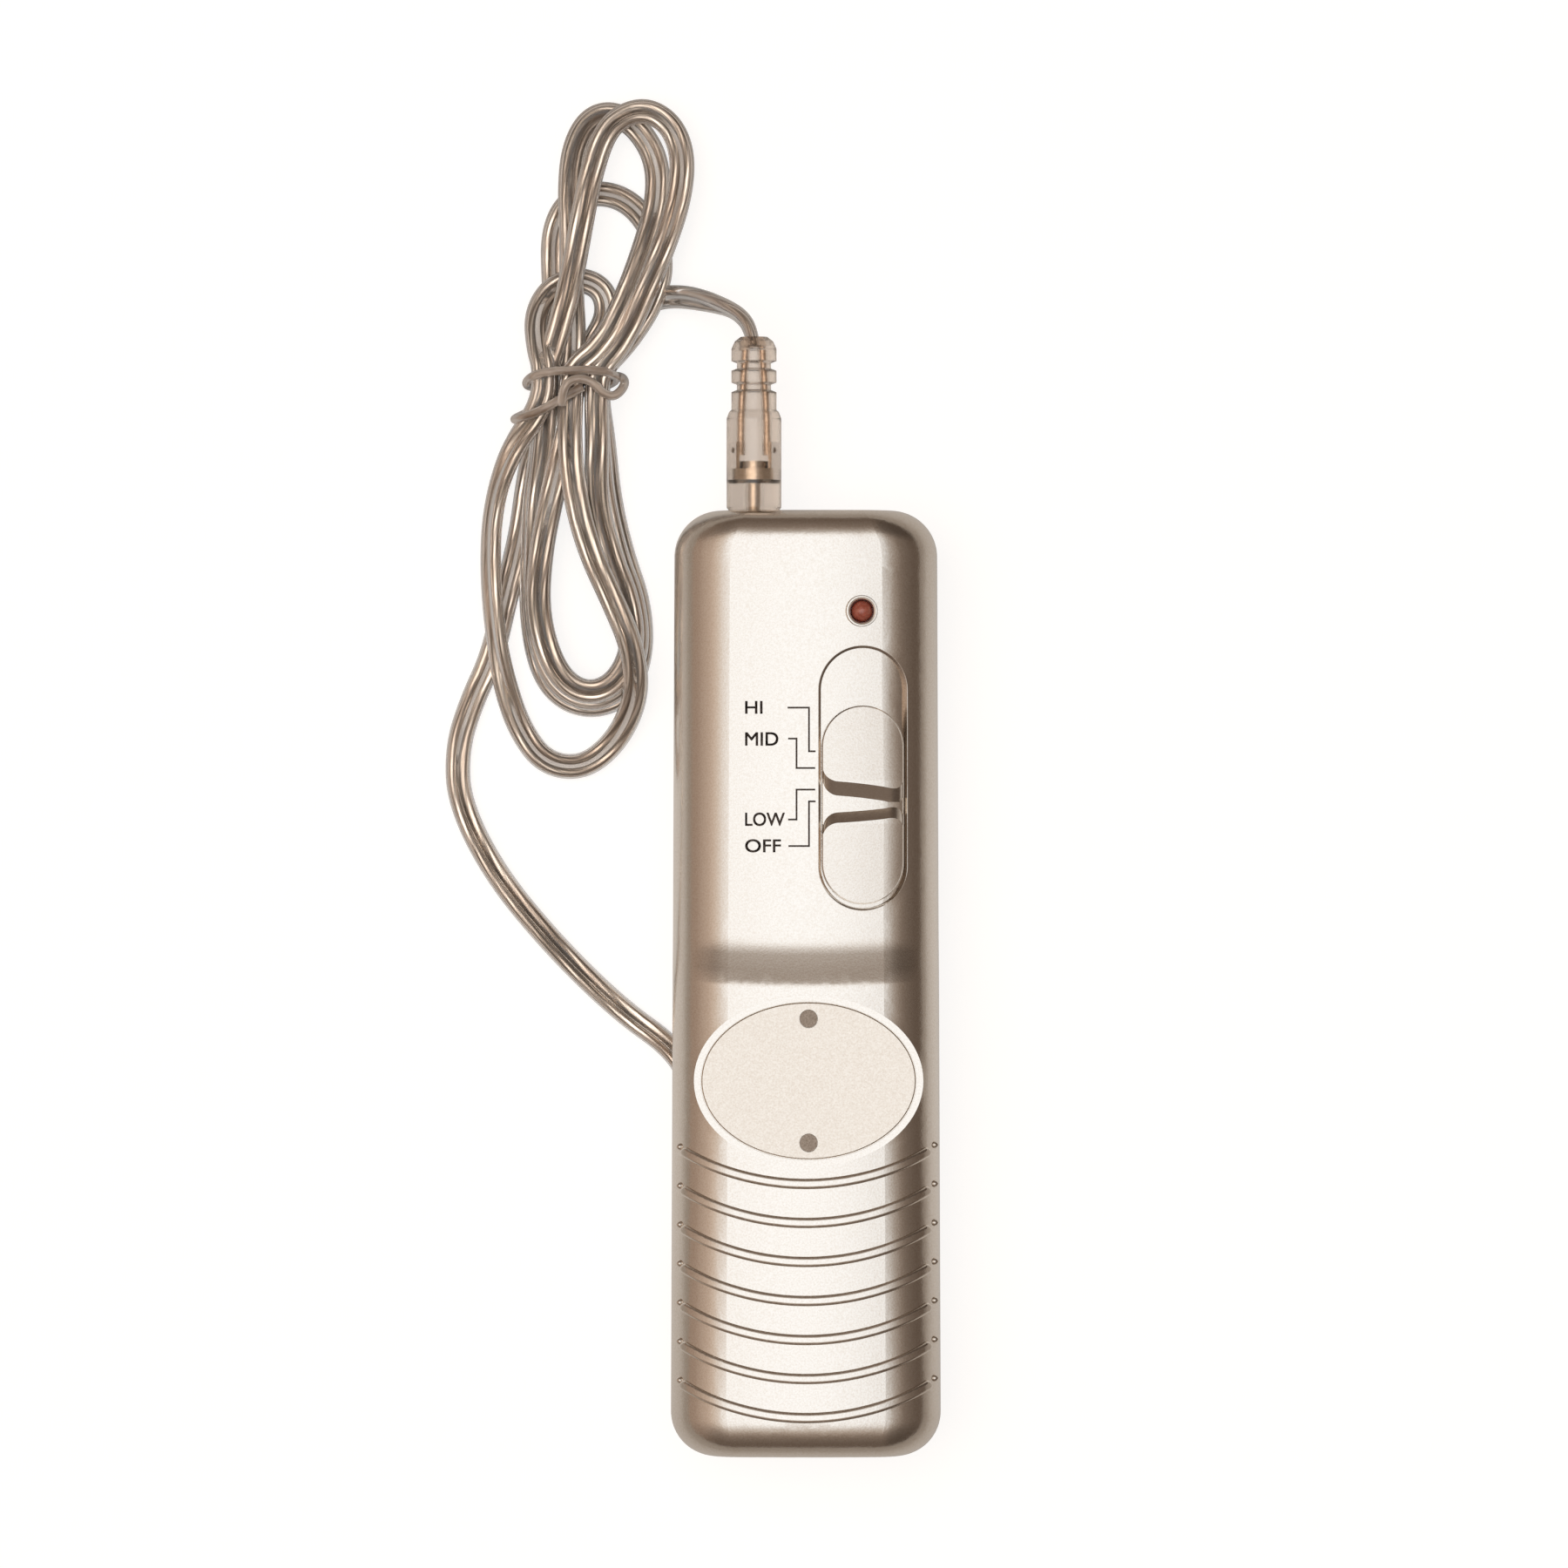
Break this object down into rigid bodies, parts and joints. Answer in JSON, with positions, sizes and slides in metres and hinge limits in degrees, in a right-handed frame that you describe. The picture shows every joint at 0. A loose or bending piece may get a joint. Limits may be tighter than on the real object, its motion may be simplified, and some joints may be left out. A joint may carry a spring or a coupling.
{
  "type": "handheld wand massager",
  "caption": "Corded battery hand controller of a handheld massager: slide speed switch, lamp, badge plate, ribbed grip, and a clear twin lead tied in a hank.",
  "frame": {"origin": "centre of the hand piece's bounding box in plan, at the plane its back lies on", "axes": "+Y towards the jack end of the hand piece, +Z out of its face, +X to the side of the slide switch and lamp"},
  "size_m": [0.0676, 0.1837, 0.0245],
  "materials": {
    "case_paint": "satin champagne metallic paint over moulded plastic",
    "badge_metal": "fine satin, champagne",
    "pin_metal": "dull, slightly dished",
    "screw_steel": "zinc plated",
    "sheet_steel": "bright sheet",
    "spring_steel": "nickel plated wire",
    "contact_plate": "nickel plated sheet",
    "contact_brass": "bright",
    "tinned_wire": "tinned",
    "white_plastic": "plain",
    "black_plastic": "plain",
    "board_laminate": "phenolic paper laminate",
    "lamp_red": "diffused red lens",
    "resistor_ceramic": "baked lacquer",
    "cell_can": "printed wrap on a metal can",
    "red_insulation": "smooth",
    "black_insulation": "smooth",
    "white_insulation": "smooth",
    "clear_moulding": "clear soft moulding",
    "clear_flex": "clear insulation over fine copper strands",
    "clear_tie": "clear strand",
    "plug_metal": "nickel plated",
    "core_copper": "bare stranded copper"
  },
  "bodies": {
    "root": {"front_shell": "case_paint", "back_shell": "case_paint", "case_screws": "screw_steel", "board_screws": "screw_steel", "badge_plate": "badge_metal", "badge_pins": "pin_metal", "switch_shell": "sheet_steel", "switch_base": "black_plastic", "switch_terminals": "contact_brass", "circuit_board": "board_laminate", "lamp_body": "lamp_red", "lamp_leads": "tinned_wire", "resistor_bodies": "resistor_ceramic", "resistor_leads": "tinned_wire", "driver_transistor": "black_plastic", "cell_left": "cell_can", "cell_right": "cell_can", "contact_bridge": "contact_plate", "contact_plus": "contact_plate", "contact_minus": "contact_plate", "battery_springs": "spring_steel", "wire_red": "red_insulation", "wire_black": "black_insulation", "jack_socket": "black_plastic", "jack_contacts": "contact_brass", "jack_wires": "white_insulation"},
    "slider": {"slider_knob": "case_paint", "slider_retainer": "white_plastic", "switch_actuator": "black_plastic", "switch_wiper": "contact_brass"},
    "door": {"battery_door": "case_paint"},
    "lead": {"plug_body": "clear_moulding", "plug_pin": "plug_metal", "plug_lugs": "plug_metal", "plug_conductors": "core_copper", "cord_lead_in": "clear_flex", "cord_hank": "clear_flex", "cord_tie": "clear_tie", "cord_lead_out": "clear_flex", "connector_body": "clear_moulding", "connector_pin": "plug_metal"}
  },
  "joints": [
    {"name": "speed_slide", "type": "slide", "parent": "root", "child": "slider", "axis": [0, 1, 0], "range_m": [0, 0.0068]},
    {"name": "door_slide", "type": "slide", "parent": "root", "child": "door", "axis": [0, -1, 0], "range_m": [0, 0.008]},
    {"name": "lead_unplug", "type": "slide", "parent": "root", "child": "lead", "axis": [0, 1, 0], "range_m": [0, 0.012]}
  ]
}
